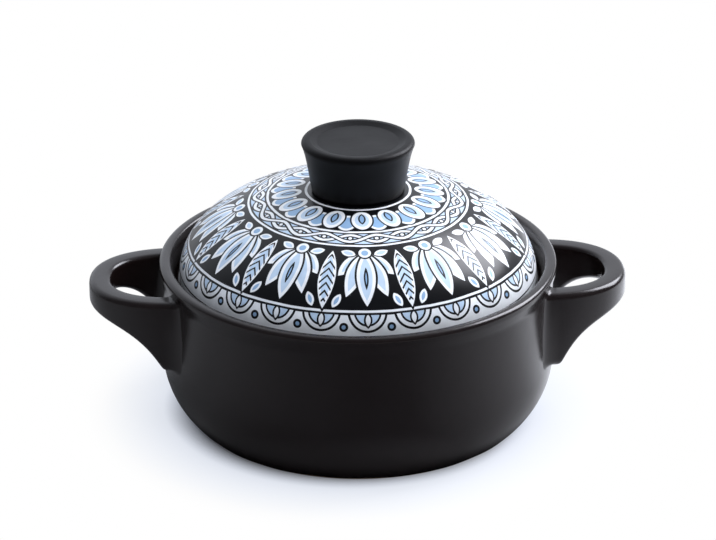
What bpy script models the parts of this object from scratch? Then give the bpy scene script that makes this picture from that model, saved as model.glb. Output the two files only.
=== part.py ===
# Lidded clay casserole with two ear handles
#
# A jigger-turned stoneware pot with a black satin glaze, two pressed ear handles
# luted to its wall, and a white-glazed domed lid that carries a hollow black knob.
# The lid drops into a gallery, a stepped seat inside the rim, and lifts straight out.
#
# Metres, +Z up. The origin is the middle of the foot ring, on the surface that the
# pot stands on. The handles lie along X.

import math

import bmesh
import bpy
from mathutils import Vector

# Clearances
SEAT_GAP = 0.0003          # between two pieces that rest on or are luted to each other

# Pot: rim and outer wall
RIM_RADIUS = 0.110         # outer radius of the lip
RIM_HEIGHT = 0.0925        # top of the lip above the table
RIM_WIDTH = 0.0060         # width of the lip's flat top band
RIM_EDGE = 0.0016          # rounding of the lip's two edges
LIP_DEPTH = 0.0048         # height of the lip's outer face
NECK_INSET = 0.0020        # how far the wall steps in under the lip
BELLY_RADIUS = 0.1092      # widest radius of the wall
BELLY_HEIGHT = 0.038       # height at which the wall starts to turn in
BELLY_TURN = 0.0486        # radius of the arc from the wall to the foot

# Pot: foot, floor and inner wall
FOOT_HEIGHT = 0.0012       # height of the foot's outer step
FOOT_STEP = 0.0014         # how far the foot stands inside the wall's lower end
FOOT_WIDTH = 0.0095        # width of the flat unglazed foot ring
FOOT_RECESS = 0.0030       # how far the base is hollowed inside the foot ring
FLOOR_THICKNESS = 0.0075   # clay between the base recess and the inner floor
WALL_THICKNESS = 0.0075    # clay between the inner and the outer wall
FLOOR_RADIUS = 0.072       # flat part of the inner floor

# Pot: gallery, the seat of the lid inside the rim
GALLERY_DEPTH = 0.0125     # from the rim's top down to the ledge
LEDGE_WIDTH = 0.0100       # width of the flat ledge
LEDGE_NOSE = 0.0050        # thickness of the ledge at its inner edge
LEDGE_EDGE = 0.0012        # rounding of the ledge's inner edge
LEDGE_SLOPE = 0.0110       # height of the sloped underside that carries the ledge

# Lid
LID_PLAY = 0.0016          # gap between the lid's edge and the gallery wall
LID_WALL = 0.0055          # thickness of the lid
LID_SKIRT = 0.0042         # short upright edge below the dome
LID_RISE = 0.0489          # rise of the dome above the skirt
LID_ROUNDNESS = 2.25       # exponent of the dome's curve; 2 is an ellipse
LID_EDGE = 0.0012          # rounding of the lid's lower edge
LID_BORE = 0.0090          # radius of the hole under the hollow knob

# Knob
KNOB_BASE_RADIUS = 0.0256
KNOB_TOP_RADIUS = 0.0311
KNOB_HEIGHT = 0.0296
KNOB_SHOULDER = 0.0032     # radial width of the rounded shoulder of the top
KNOB_SHOULDER_DROP = 0.0026
KNOB_RECESS_DEPTH = 0.0014
KNOB_RECESS_SLOPE = 0.0042 # radial width of the slope into the recess
KNOB_RECESS_EDGE = 0.0015  # flat crest between the slope and the shoulder
KNOB_WALL = 0.0065
KNOB_FLARE = 0.0013        # extra radius that the side gains in a curve near its top
KNOB_FLARE_POWER = 5       # how late that curve starts

# Handles
HANDLE_PROJECTION = 0.0409 # how far the ear stands out from the wall
HANDLE_HALF_SPAN = 0.0400  # half the width of the ear where it meets the wall
HANDLE_ARM = 0.0122        # width of the ear's band, seen from above
HANDLE_SINK = 0.0080       # how far behind the wall's face the ear's outline is widest
HANDLE_TAIL = 0.0120       # straight run of the ear's ends inside the wall, cut away
HANDLE_ROUNDNESS = 2.3     # exponent of the ear's outline; 2 is an ellipse
HANDLE_DROP = 0.0092       # from the rim's top down to the top of the ear
HANDLE_TIP_DEPTH = 0.0127  # thickness of the ear at its outermost point
HANDLE_BOWS = (0.0142, 0.0205, 0.0205)  # control depths that bow the underside's curve
HANDLE_PLUNGE = 0.0620     # control depth at which that curve would reach the wall
HANDLE_ROOT_DEPTH = 0.0427 # thickness of the ear where its underside levels out
HANDLE_LEVELLING = 0.0025  # softness of that bend
HANDLE_TOP_EDGE = 0.0036   # rounding of the upper edges
HANDLE_LOW_EDGE = 0.0028   # rounding of the lower edges
HANDLE_ROOT_EDGE = 0.0055  # the same, where the ear meets the wall
HANDLE_COVE = 0.0080       # size of the hollow fillet between the ear and the wall
HANDLE_TOP_COVE = 0.0025   # the same, on the narrow top of the ear
HANDLE_COVE_RISE = 0.0200  # height over which the fillet grows below the ear's top
HANDLE_COVE_SINK = 0.0006  # how far inside the wall's face the fillet would run out

# Facets
POT_STEPS = 72
KNOB_STEPS = 40
EAR_STEPS = 11             # sections from the fillet to the ear's tip
ROOT_STEPS = 11            # sections through the fillet and the wall
CORNER_POINTS = 4          # points on each rounded edge of a section
LIFT_STEPS = 160           # trial heights of the fillet
ARC_POINTS = 3             # points on a small rounding

# Sizes that follow from the ones above
RIM_INNER = RIM_RADIUS - RIM_WIDTH
LEDGE_Z = RIM_HEIGHT - GALLERY_DEPTH
NECK_RADIUS = RIM_RADIUS - NECK_INSET
LIP_BOTTOM = RIM_HEIGHT - LIP_DEPTH
GALLERY_RADIUS = NECK_RADIUS - WALL_THICKNESS
LEDGE_INNER = GALLERY_RADIUS - LEDGE_WIDTH
FLOOR_Z = FOOT_RECESS + FLOOR_THICKNESS
INNER_RADIUS = BELLY_RADIUS - WALL_THICKNESS
LID_RADIUS = GALLERY_RADIUS - LID_PLAY
LID_BOTTOM = LEDGE_Z + SEAT_GAP
LID_SPRING = LID_BOTTOM + LID_SKIRT
HANDLE_TOP = RIM_HEIGHT - HANDLE_DROP


def scene_cleared():
    """Remove every object that the file starts with."""
    for found in list(bpy.data.objects):
        bpy.data.objects.remove(found, do_unlink=True)


def collection(name):
    made = bpy.data.collections.new(name)
    bpy.context.scene.collection.children.link(made)
    return made


def glaze(name, colour, roughness):
    """A fired ceramic surface: colour, how satin it is, never metallic."""
    material = bpy.data.materials.new(name)
    material.use_nodes = True
    shader = material.node_tree.nodes["Principled BSDF"]
    shader.inputs["Base Color"].default_value = (*colour, 1.0)
    shader.inputs["Roughness"].default_value = roughness
    shader.inputs["Metallic"].default_value = 0.0
    return material


def arc(centre, radii, start, end, count=ARC_POINTS):
    """Points (radius, height) on an ellipse's arc, from one angle in degrees to another."""
    points = []
    for index in range(count):
        angle = math.radians(start + (end - start) * index / (count - 1))
        points.append((centre[0] + radii[0] * math.cos(angle),
                       centre[1] + radii[1] * math.sin(angle)))
    return points


def wall_radius(height):
    """Outer radius of the pot's wall, from its foot up to the neck under the lip."""
    if height < BELLY_HEIGHT:
        below = BELLY_HEIGHT - height
        return BELLY_RADIUS - BELLY_TURN + math.sqrt(BELLY_TURN ** 2 - below ** 2)
    rise = min((height - BELLY_HEIGHT) / (LIP_BOTTOM - BELLY_HEIGHT), 1.0)
    ease = 0.5 - 0.5 * math.cos(math.pi * rise)
    return BELLY_RADIUS + (NECK_RADIUS - BELLY_RADIUS) * ease


def outer_wall(spread=0.0, turn_points=9, wall_points=5):
    """The outer wall from the neck down to the foot; spread moves it outwards."""
    neck_z = LIP_BOTTOM - NECK_INSET
    points = []
    for index in range(wall_points):
        height = neck_z + (BELLY_HEIGHT - neck_z) * index / wall_points
        points.append((wall_radius(height) + spread, height))
    lowest = math.degrees(math.asin((BELLY_HEIGHT - FOOT_HEIGHT) / BELLY_TURN))
    centre = (BELLY_RADIUS - BELLY_TURN, BELLY_HEIGHT)
    turn = BELLY_TURN + spread
    points += arc(centre, (turn, turn), 0.0, -lowest, turn_points)
    return points


def bowl_profile():
    """Half the pot's section, from the middle of the floor round to the middle of the base."""
    points = [(0.0, FLOOR_Z)]
    # Floor and rounded corner up to the inner wall
    corner = (FLOOR_RADIUS, BELLY_HEIGHT)
    reach = (INNER_RADIUS - FLOOR_RADIUS, BELLY_HEIGHT - FLOOR_Z)
    points += arc(corner, reach, -90.0, 0.0, 7)
    # Sloped underside and nose of the ledge
    nose_z = LEDGE_Z - LEDGE_NOSE
    points.append((INNER_RADIUS, nose_z - LEDGE_SLOPE))
    points.append((LEDGE_INNER, nose_z))
    points += arc((LEDGE_INNER + LEDGE_EDGE, LEDGE_Z - LEDGE_EDGE),
                  (LEDGE_EDGE, LEDGE_EDGE), 180.0, 90.0)
    # Ledge, gallery wall flaring up to the lip, and the lip's rounded band
    points.append((GALLERY_RADIUS, LEDGE_Z))
    points += arc((RIM_INNER + RIM_EDGE, RIM_HEIGHT - RIM_EDGE),
                  (RIM_EDGE, RIM_EDGE), 180.0, 90.0)
    points += arc((RIM_RADIUS - RIM_EDGE, RIM_HEIGHT - RIM_EDGE),
                  (RIM_EDGE, RIM_EDGE), 90.0, 0.0)
    points.append((RIM_RADIUS, LIP_BOTTOM))
    # Wall, foot and hollowed base
    points += outer_wall()
    foot_outer = points[-1][0] - FOOT_STEP
    foot_inner = foot_outer - FOOT_WIDTH
    points.append((foot_outer, FOOT_HEIGHT))
    points.append((foot_outer, 0.0))
    points.append((foot_inner, 0.0))
    points.append((foot_inner - FOOT_RECESS, FOOT_RECESS))
    points.append((0.0, FOOT_RECESS))
    return points


def dome_height(radius):
    """Height of the lid's outer surface at a radius."""
    return LID_SPRING + LID_RISE * math.sqrt(1.0 - (radius / LID_RADIUS) ** LID_ROUNDNESS)


def dome_points(edge, rise, start, count):
    """Section of a dome of one edge radius and rise, from a radius out to its edge."""
    first = math.asin((start / edge) ** (LID_ROUNDNESS / 2.0))
    points = []
    for index in range(count):
        angle = first + (0.5 * math.pi - first) * index / (count - 1)
        points.append((edge * math.sin(angle) ** (2.0 / LID_ROUNDNESS),
                       LID_SPRING + rise * math.cos(angle)))
    return points


def lid_profile():
    """Closed section of the lid: a domed ring round the hole under the knob."""
    pad_z = dome_height(KNOB_BASE_RADIUS)
    inner_radius = LID_RADIUS - LID_WALL
    inner_rise = pad_z - LID_WALL - LID_SPRING
    # Flat pad for the knob, dome, upright edge and flat foot
    points = [(LID_BORE, pad_z)]
    points += dome_points(LID_RADIUS, LID_RISE, KNOB_BASE_RADIUS, 13)
    points += arc((LID_RADIUS - LID_EDGE, LID_BOTTOM + LID_EDGE),
                  (LID_EDGE, LID_EDGE), 0.0, -90.0)
    points.append((inner_radius, LID_BOTTOM))
    # Underside of the dome, back to the hole
    points += reversed(dome_points(inner_radius, inner_rise, LID_BORE, 12))
    return points


def knob_side(share):
    """Radius of the knob's side at a share of its height up to the shoulder."""
    taper = KNOB_TOP_RADIUS - KNOB_BASE_RADIUS - KNOB_FLARE
    return KNOB_BASE_RADIUS + taper * share + KNOB_FLARE * share ** KNOB_FLARE_POWER


def knob_profile():
    """Half the knob's section, from the middle of its recess round to the hollow's roof."""
    base_z = dome_height(KNOB_BASE_RADIUS) + SEAT_GAP
    top_z = base_z + KNOB_HEIGHT
    shoulder_z = top_z - KNOB_SHOULDER_DROP
    crest = KNOB_TOP_RADIUS - KNOB_SHOULDER
    # Recess, its slope, and the rounded shoulder
    points = [(0.0, top_z - KNOB_RECESS_DEPTH),
              (crest - KNOB_RECESS_SLOPE - KNOB_RECESS_EDGE, top_z - KNOB_RECESS_DEPTH),
              (crest - KNOB_RECESS_EDGE, top_z)]
    points += arc((crest, shoulder_z), (KNOB_SHOULDER, KNOB_SHOULDER_DROP), 90.0, 0.0, 5)
    # Flared side, from the shoulder down to the foot
    side_points = 8
    for index in range(1, side_points + 1):
        share = 1.0 - index / side_points
        points.append((knob_side(share), base_z + (shoulder_z - base_z) * share))
    # Foot ring and hollow
    hollow_top = top_z - KNOB_RECESS_DEPTH - KNOB_WALL
    hollow_radius = KNOB_BASE_RADIUS - KNOB_WALL
    points.append((hollow_radius, base_z))
    points += arc((hollow_radius - KNOB_WALL, hollow_top - KNOB_WALL),
                  (KNOB_WALL, KNOB_WALL), 0.0, 90.0, 4)
    points.append((0.0, hollow_top))
    return points


def turned(name, profile, steps, group, closed=False):
    """Turn a section about the Z axis with a Screw modifier."""
    mesh = bpy.data.meshes.new(name)
    vertices = [(radius, 0.0, height) for radius, height in profile]
    edges = [(index, index + 1) for index in range(len(vertices) - 1)]
    if closed:
        edges.append((len(vertices) - 1, 0))
    mesh.from_pydata(vertices, edges, [])
    made = bpy.data.objects.new(name, mesh)
    group.objects.link(made)
    screw = made.modifiers.new("Turn", "SCREW")
    screw.steps = steps
    screw.render_steps = steps
    screw.use_merge_vertices = True
    screw.merge_threshold = 0.00001
    screw.use_smooth_shade = True
    return made


def ear_path(angle):
    """Point and outward normal, in plan, of the ear's middle line at an angle in degrees."""
    wall = wall_radius(HANDLE_TOP)
    length = HANDLE_PROJECTION + HANDLE_SINK - HANDLE_ARM / 2
    span = HANDLE_HALF_SPAN - HANDLE_ARM / 2
    power = 2.0 / HANDLE_ROUNDNESS
    along = abs(math.cos(math.radians(angle)))
    across = abs(math.sin(math.radians(angle)))
    side = math.copysign(1.0, angle)
    point = Vector((wall - HANDLE_SINK + length * along ** power,
                    side * span * across ** power))
    normal = Vector((along ** (2.0 - power) / length, side * across ** (2.0 - power) / span))
    return point, normal.normalized()


def ear_angle(offset):
    """Angle at which the ear's middle line is an offset beyond its widest place."""
    share = offset / (HANDLE_PROJECTION + HANDLE_SINK - HANDLE_ARM / 2)
    return math.degrees(math.acos(share ** (HANDLE_ROUNDNESS / 2.0)))


def root_share(out):
    """0 at the ear's tip and 1 at its root, from a distance along X."""
    wall = wall_radius(HANDLE_TOP)
    tip = wall + HANDLE_PROJECTION
    root = math.sqrt(wall ** 2 - (HANDLE_HALF_SPAN - HANDLE_ARM / 2) ** 2)
    return min(max((tip - out) / (tip - root), 0.0), 1.0)


def ear_underside(out):
    """Height of the ear's underside: a Bezier curve that levels out before the wall."""
    share = root_share(out)
    depths = (HANDLE_TIP_DEPTH, *HANDLE_BOWS, HANDLE_PLUNGE)
    degree = len(depths) - 1
    spare = HANDLE_ROOT_DEPTH
    for index, depth in enumerate(depths):
        weight = math.comb(degree, index) * share ** index * (1.0 - share) ** (degree - index)
        spare -= depth * weight
    levelled = 0.5 * (spare + math.hypot(spare, HANDLE_LEVELLING))
    return HANDLE_TOP - HANDLE_ROOT_DEPTH + levelled


def fillet_lift(place, outward):
    """How far the hollow fillet along the wall lifts a point of the ear's surface."""
    grown = min(max((HANDLE_TOP - place.z) / HANDLE_COVE_RISE, 0.0), 1.0)
    size = HANDLE_TOP_COVE + (HANDLE_COVE - HANDLE_TOP_COVE) * grown
    # The fillet fades out round the lower edge, so that the underside runs straight in
    size *= 1.0 - min(outward.z, 0.0) ** 2
    for step in range(LIFT_STEPS + 1):
        lifted = size * step / LIFT_STEPS
        moved = place + outward * lifted
        gap = moved.to_2d().length - wall_radius(moved.z) + HANDLE_COVE_SINK
        left = size - min(max(gap, 0.0), size)
        # A quarter circle between the distance from the wall and the height of the fillet
        if lifted >= size - math.sqrt(size ** 2 - left ** 2):
            break
    return lifted


def ear_section(point, normal):
    """Rounded section of the ear, upright across its middle line, as 3-D points."""
    half = HANDLE_ARM / 2
    upper = HANDLE_TOP_EDGE
    lower = HANDLE_LOW_EDGE + (HANDLE_ROOT_EDGE - HANDLE_LOW_EDGE) * root_share(point.x) ** 2
    lower = min(lower, 0.95 * half)
    upper_z = HANDLE_TOP - upper
    lower_z = ear_underside(point.x) + lower
    section = []
    for start, side, edge, height in ((-90.0, 1, lower, lower_z), (0.0, 1, upper, upper_z),
                                      (90.0, -1, upper, upper_z), (180.0, -1, lower, lower_z)):
        for index in range(CORNER_POINTS):
            angle = math.radians(start + 90.0 * index / (CORNER_POINTS - 1))
            flat = point + normal * (side * (half - edge) + edge * math.cos(angle))
            place = flat.to_3d() + Vector((0.0, 0.0, height + edge * math.sin(angle)))
            outward = (normal * math.cos(angle)).to_3d() + Vector((0.0, 0.0, math.sin(angle)))
            section.append(place + outward * fillet_lift(place, outward))
    return section


def ear_stations():
    """Points and normals along the ear, close together where it runs into the wall."""
    first = -0.5 * HANDLE_SINK
    last = HANDLE_SINK + 0.5 * HANDLE_COVE
    offsets = [-HANDLE_TAIL]
    offsets += [first + (last - first) * index / ROOT_STEPS for index in range(ROOT_STEPS + 1)]
    half = []
    for offset in offsets:
        point, normal = ear_path(ear_angle(max(offset, 0.0)))
        half.append((point + Vector((min(offset, 0.0), 0.0)), normal))
    free_angle = ear_angle(last)
    half += [ear_path(free_angle * (1.0 - index / EAR_STEPS)) for index in range(1, EAR_STEPS + 1)]
    mirrored = [(Vector((point.x, -point.y)), Vector((normal.x, -normal.y)))
                for point, normal in half[-2::-1]]
    return half + mirrored


def ear_loft(name, group):
    """Loft the ear's sections into one closed body whose ends lie inside the pot's wall."""
    loft = bmesh.new()
    rings = []
    for point, normal in ear_stations():
        rings.append([loft.verts.new(place) for place in ear_section(point, normal)])
    for before, after in zip(rings, rings[1:]):
        for index in range(len(before)):
            following = (index + 1) % len(before)
            loft.faces.new((before[index], before[following], after[following], after[index]))
    loft.faces.new(rings[0])
    loft.faces.new(rings[-1])
    bmesh.ops.recalc_face_normals(loft, faces=loft.faces)
    mesh = bpy.data.meshes.new(name)
    loft.to_mesh(mesh)
    loft.free()
    mesh.shade_smooth()
    mesh.set_sharp_from_angle(angle=math.radians(40.0))
    made = bpy.data.objects.new(name, mesh)
    group.objects.link(made)
    return made


def wall_cutter(group):
    """The pot's outside, one seat gap larger, that the ears are cut to fit."""
    above = RIM_HEIGHT + RIM_WIDTH
    profile = [(0.0, above), (RIM_RADIUS + SEAT_GAP, above),
               (RIM_RADIUS + SEAT_GAP, LIP_BOTTOM - SEAT_GAP)]
    profile += outer_wall(SEAT_GAP)
    profile.append((0.0, FOOT_HEIGHT))
    cutter = turned("wall_cutter", profile, POT_STEPS, group)
    cutter.display_type = "WIRE"
    cutter.hide_render = True
    return cutter


def build():
    scene_cleared()
    parts = collection("clay_casserole")
    cutters = collection("cutters")

    black = glaze("black_satin_glaze", (0.012, 0.011, 0.012), 0.30)
    ear_black = glaze("black_satin_glaze_handles", (0.013, 0.012, 0.013), 0.32)
    white = glaze("white_lid_glaze", (0.78, 0.80, 0.84), 0.12)
    knob_black = glaze("black_matt_glaze_knob", (0.014, 0.013, 0.015), 0.45)

    bowl = turned("pot_bowl", bowl_profile(), POT_STEPS, parts)
    bowl.data.materials.append(black)

    cutter = wall_cutter(cutters)
    right = ear_loft("handle_right", parts)
    left = bpy.data.objects.new("handle_left", right.data)
    parts.objects.link(left)
    left.rotation_euler = (0.0, 0.0, math.pi)
    right.data.materials.append(ear_black)
    for ear in (right, left):
        seat = ear.modifiers.new("Wall seat", "BOOLEAN")
        seat.operation = "DIFFERENCE"
        seat.solver = "EXACT"
        seat.object = cutter

    # The lid's two pieces hang from an empty on the axis that the lid lifts along
    lid_axis = bpy.data.objects.new("lid_axis", None)
    parts.objects.link(lid_axis)
    dome = turned("lid_dome", lid_profile(), POT_STEPS, parts, closed=True)
    dome.data.materials.append(white)
    knob = turned("lid_knob", knob_profile(), KNOB_STEPS, parts)
    knob.data.materials.append(knob_black)
    for piece in (dome, knob):
        piece.parent = lid_axis


build()
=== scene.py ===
# %% [markdown]
# # A lidded clay casserole
#
# A round stoneware pot with a black satin glaze, two ear handles, and a white-glazed
# dome of a lid with a printed rosette and a hollow black knob. The CAD model is loaded
# first as a fixed frame. Each of its plain solids is then replaced by a finer piece of
# the same size, and every piece gets a glaze made from nodes.

# %% Load the frame
import math

import bmesh
import bpy
import numpy as np
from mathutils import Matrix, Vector


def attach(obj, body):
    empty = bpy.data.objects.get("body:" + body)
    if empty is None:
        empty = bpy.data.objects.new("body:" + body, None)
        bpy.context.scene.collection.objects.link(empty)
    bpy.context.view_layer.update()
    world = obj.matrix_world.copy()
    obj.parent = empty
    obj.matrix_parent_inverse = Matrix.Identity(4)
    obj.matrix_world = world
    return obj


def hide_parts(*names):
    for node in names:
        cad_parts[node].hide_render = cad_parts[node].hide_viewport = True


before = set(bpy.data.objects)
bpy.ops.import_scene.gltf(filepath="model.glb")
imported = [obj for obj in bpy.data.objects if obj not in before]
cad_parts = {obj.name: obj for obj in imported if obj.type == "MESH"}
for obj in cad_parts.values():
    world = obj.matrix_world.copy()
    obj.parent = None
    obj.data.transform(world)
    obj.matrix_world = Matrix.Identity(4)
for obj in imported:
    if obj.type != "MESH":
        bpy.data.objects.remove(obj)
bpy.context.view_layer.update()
print("CAD nodes:", ", ".join(sorted(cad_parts)))

# %% [markdown]
# ## Millimetres and colours
#
# A potter measures in millimetres and Blender in metres, so the sections below are drawn
# in millimetres and scaled once, when a mesh is made. Colours are picked as sRGB hex
# values, as a paint program shows them, but a shader works in linear light. One function
# turns the first into the second, and every colour of a surface or a lamp goes through
# it. A plain level of light, such as a share of white, is a linear number already.

# %% Units and the colour function
MM = 0.001


def colour(code):
    """Linear RGBA of an sRGB hex colour such as "b5d3ee"."""
    channels = [int(code[start:start + 2], 16) / 255 for start in (0, 2, 4)]
    linear = [c / 12.92 if c <= 0.04045 else ((c + 0.055) / 1.055) ** 2.4 for c in channels]
    return (*linear, 1.0)


def grey(level):
    """Linear RGBA of a plain level of light."""
    return (level, level, level, 1.0)


print("sRGB 808080 is linear", round(colour("808080")[0], 3))

# %% [markdown]
# ## One function for every node
#
# A material is a tree of nodes. All of them are added by one function: it takes the kind
# of node, its inputs in order or by name, and its settings. An input may be a number, a
# colour or another node, and then its first output is linked.

# %% Add a node
def add(tree, kind, inputs=(), stops=(), hard=False, **settings):
    """Add a node, give it its settings and colour stops, and set or link its inputs."""
    made = tree.nodes.new("ShaderNode" + kind)
    for key, value in settings.items():
        setattr(made, key, value)
    if stops:
        band = made.color_ramp
        band.interpolation = "CONSTANT" if hard else "LINEAR"
        band.elements.remove(band.elements[1])
        band.elements[0].position, band.elements[0].color = stops[0]
        for position, shade in stops[1:]:
            band.elements.new(position).color = shade
    if isinstance(inputs, dict):
        pairs = [(made.inputs[name], value) for name, value in inputs.items()]
    else:
        pairs = list(zip([socket for socket in made.inputs if socket.enabled], inputs))
    for socket, value in pairs:
        if isinstance(value, bpy.types.Node):
            value = next(output for output in value.outputs if output.enabled)
        if isinstance(value, bpy.types.NodeSocket):
            tree.links.new(value, socket)
        elif value is not None:
            socket.default_value = value
    return made


def new_surface(name):
    """An empty material's tree and its output node."""
    material = bpy.data.materials.new(name)
    material.use_nodes = True
    tree = material.node_tree
    tree.nodes.clear()
    return material, tree, tree.nodes.new("ShaderNodeOutputMaterial")


# %% [markdown]
# ## The camera
#
# The pot is photographed from above its rim, looking about 24 degrees down, with a long
# lens. The long lens keeps the near and the far side of the rim almost alike. The camera
# stands a few degrees to the left of the pot's middle plane, so the left ear comes
# slightly nearer to it.

# %% Place the camera
CAMERA_AWAY = 1.760
CAMERA_HEIGHT = 0.8734
CAMERA_DOWN = math.radians(24.172)
CAMERA_TURN = math.radians(3.4)
CAMERA_LENS = 174.79

camera = bpy.data.objects.new("camera", bpy.data.cameras.new("camera"))
camera.data.lens = CAMERA_LENS
camera.data.sensor_width = 36.0
camera.location = (-CAMERA_AWAY * math.sin(CAMERA_TURN),
                   -CAMERA_AWAY * math.cos(CAMERA_TURN), CAMERA_HEIGHT)
camera.rotation_euler = (math.pi / 2 - CAMERA_DOWN, 0.0, -CAMERA_TURN)
bpy.context.scene.collection.objects.link(camera)
bpy.context.scene.camera = camera
print("camera at", [round(value, 3) for value in camera.location])

# %% [markdown]
# ## Drawing a section with rounded corners
#
# Everything turned in a pottery is defined by its section: one line, revolved about the
# axis. Glaze and clay never make a knife edge, so each corner of the line carries a
# fillet. A Bevel modifier could round the finished mesh, but rounding the line itself
# gives each corner its own radius and costs nothing.

# %% Section helpers
FILLET_STEPS = 6
ROUND_STEPS = 192
AXIS_RADIUS = 0.001  # nearer than this, a point lies on the axis


def rounded(corners):
    """Section line from corners (radius, height, fillet) in millimetres."""
    line = []
    for index, (radius, height, fillet) in enumerate(corners):
        here = Vector((radius, height))
        if fillet == 0:
            line.append(here)
            continue
        back = (Vector(corners[index - 1][:2]) - here).normalized()
        ahead = (Vector(corners[(index + 1) % len(corners)][:2]) - here).normalized()
        half = 0.5 * back.angle(ahead)
        centre = here + (back + ahead).normalized() * fillet / math.sin(half)
        start = here + back * fillet / math.tan(half) - centre
        end = here + ahead * fillet / math.tan(half) - centre
        sweep = start.angle(end)
        for step in range(FILLET_STEPS + 1):
            share = step / FILLET_STEPS
            spoke = (start * math.sin((1 - share) * sweep) + end * math.sin(share * sweep))
            line.append(centre + spoke / math.sin(sweep))
    return line


def turned(name, line, closed=False):
    """Revolve a section line about the Z axis; one face ring for each of its edges."""
    vertices, rings = [], []
    for radius, height in line:
        first = len(vertices)
        if radius < AXIS_RADIUS:
            vertices.append((0.0, 0.0, height * MM))
            rings.append([first] * ROUND_STEPS)
            continue
        for step in range(ROUND_STEPS):
            angle = 2 * math.pi * step / ROUND_STEPS
            vertices.append((radius * MM * math.cos(angle),
                             radius * MM * math.sin(angle), height * MM))
        rings.append(list(range(first, first + ROUND_STEPS)))
    if closed:
        rings.append(rings[0])
    faces = []
    for lower, upper in zip(rings, rings[1:]):
        for step in range(ROUND_STEPS):
            after = (step + 1) % ROUND_STEPS
            corners = (lower[step], lower[after], upper[after], upper[step])
            faces.append(tuple(dict.fromkeys(corners)))
    return smooth_object(name, vertices, faces)


def smooth_object(name, vertices, faces):
    """An object from raw points and faces, its normals outwards and smooth."""
    mesh = bpy.data.meshes.new(name)
    mesh.from_pydata(vertices, [], faces)
    work = bmesh.new()
    work.from_mesh(mesh)
    bmesh.ops.recalc_face_normals(work, faces=work.faces)
    work.to_mesh(mesh)
    work.free()
    mesh.shade_smooth()
    made = bpy.data.objects.new(name, mesh)
    bpy.context.scene.collection.objects.link(made)
    print(name, "has", len(mesh.polygons), "faces")
    return made


print("a full circle has", ROUND_STEPS, "points and a fillet", FILLET_STEPS + 1)

# %% [markdown]
# ## The pot
#
# The pot is shaped in a spinning plaster mould and trimmed on the wheel. Its wall stands
# almost upright and turns in to the foot on one large arc. A thick lip with a flat band
# stands out over the wall, and inside it a stepped ledge, the gallery, carries the lid.
# The wall is a function of height, because the ears must find it again later on.

# %% The pot's wall
LIP_BOTTOM = 87.7
NECK_RADIUS = 108.0
BELLY_RADIUS = 109.2
BELLY_HEIGHT = 38.0  # below it the wall turns in
BELLY_TURN = 48.6    # radius of that turn


def wall_radius(height):
    """Radius of the pot's outer wall at a height, both in millimetres."""
    if height < BELLY_HEIGHT:
        below = min(BELLY_HEIGHT - height, BELLY_TURN)
        return BELLY_RADIUS - BELLY_TURN + math.sqrt(BELLY_TURN ** 2 - below ** 2)
    rise = min((height - BELLY_HEIGHT) / (LIP_BOTTOM - BELLY_HEIGHT), 1.0)
    return BELLY_RADIUS + (NECK_RADIUS - BELLY_RADIUS) * (0.5 - 0.5 * math.cos(math.pi * rise))


print("wall radius at 60 mm:", round(wall_radius(60), 2))

# %% [markdown]
# ## The pot's section
#
# The pot could be a cylinder that is pushed about with sculpt brushes, but a potter's
# wheel makes exact circles, so its section is drawn and turned. It is one line, from the
# middle of the floor over the lip to the middle of the base. Its first half is the inside,
# with the ledge of the gallery, and it goes over the lip to the end of the neck.

# %% Inside of the pot, from the floor to the lip
LIP_RADIUS = 110.0
LIP_INNER = 104.0
LIP_TOP = 92.5
LIP_UNDER = 88.5     # where the lip's band ends and slopes in to the neck
NECK_HEIGHT = 81.7
NECK_END = 80.0      # from here down the wall's own curve is followed
GALLERY_RADIUS = 100.5
LEDGE_INNER = 90.5
LEDGE_HEIGHT = 80.0
LEDGE_NOSE = 5.0     # thickness of the ledge at its inner edge
LEDGE_SLOPE = 11.0   # height of the slope that carries it
INNER_RADIUS = 101.7
FLOOR_RADIUS = 72.0  # the floor's flat part ends here
FLOOR_HEIGHT = 10.5
CORNER_STEPS = 12


def inner_section():
    """Floor and rounded corner, then wall, gallery and lip, down to just above the neck."""
    line = [Vector((0.0, FLOOR_HEIGHT))]
    reach, rise = INNER_RADIUS - FLOOR_RADIUS, BELLY_HEIGHT - FLOOR_HEIGHT
    for step in range(CORNER_STEPS + 1):
        angle = math.radians(90 * step / CORNER_STEPS - 90)
        line.append(Vector((FLOOR_RADIUS + reach * math.cos(angle),
                            BELLY_HEIGHT + rise * math.sin(angle))))
    nose_height = LEDGE_HEIGHT - LEDGE_NOSE
    return line + rounded([
        (INNER_RADIUS, BELLY_HEIGHT, 0), (INNER_RADIUS, nose_height - LEDGE_SLOPE, 6.0),
        (LEDGE_INNER, nose_height, 2.4), (LEDGE_INNER, LEDGE_HEIGHT, 1.4),
        (GALLERY_RADIUS, LEDGE_HEIGHT, 1.6), (LIP_INNER, LIP_TOP, 2.2),
        (LIP_RADIUS, LIP_TOP, 2.7), (LIP_RADIUS, LIP_UNDER, 6.0),
        (NECK_RADIUS, NECK_HEIGHT, 10.0), (wall_radius(NECK_END), NECK_END, 0)])[1:]


print("from the floor to the neck:", len(inner_section()), "points")

# %% [markdown]
# The second half follows the outer wall down. The glaze stops just above the foot in a
# small bead, and the bead wanders a little, as it was wiped by hand. From there the
# hollowed base runs in to the middle.

# %% Outside of the pot, and the pot
WALL_STEPS = 8
TURN_STEPS = 18
GLAZE_END = 2.4                                         # height above the table
GLAZE_BEAD = ((-0.25, 2.0), (-0.8, 1.85), (-1.6, 2.1))  # step inwards, height
BASE = ((86.0, 2.6), (78.4, 3.0), (0.0, 3.0))           # radius, height
BEAD_TOP = 2.5
BEAD_RADIUS = 91.0
BEAD_WAVES = ((0.16, 7, 1), (0.10, 19, 0))              # size, waves round the pot, start


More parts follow.
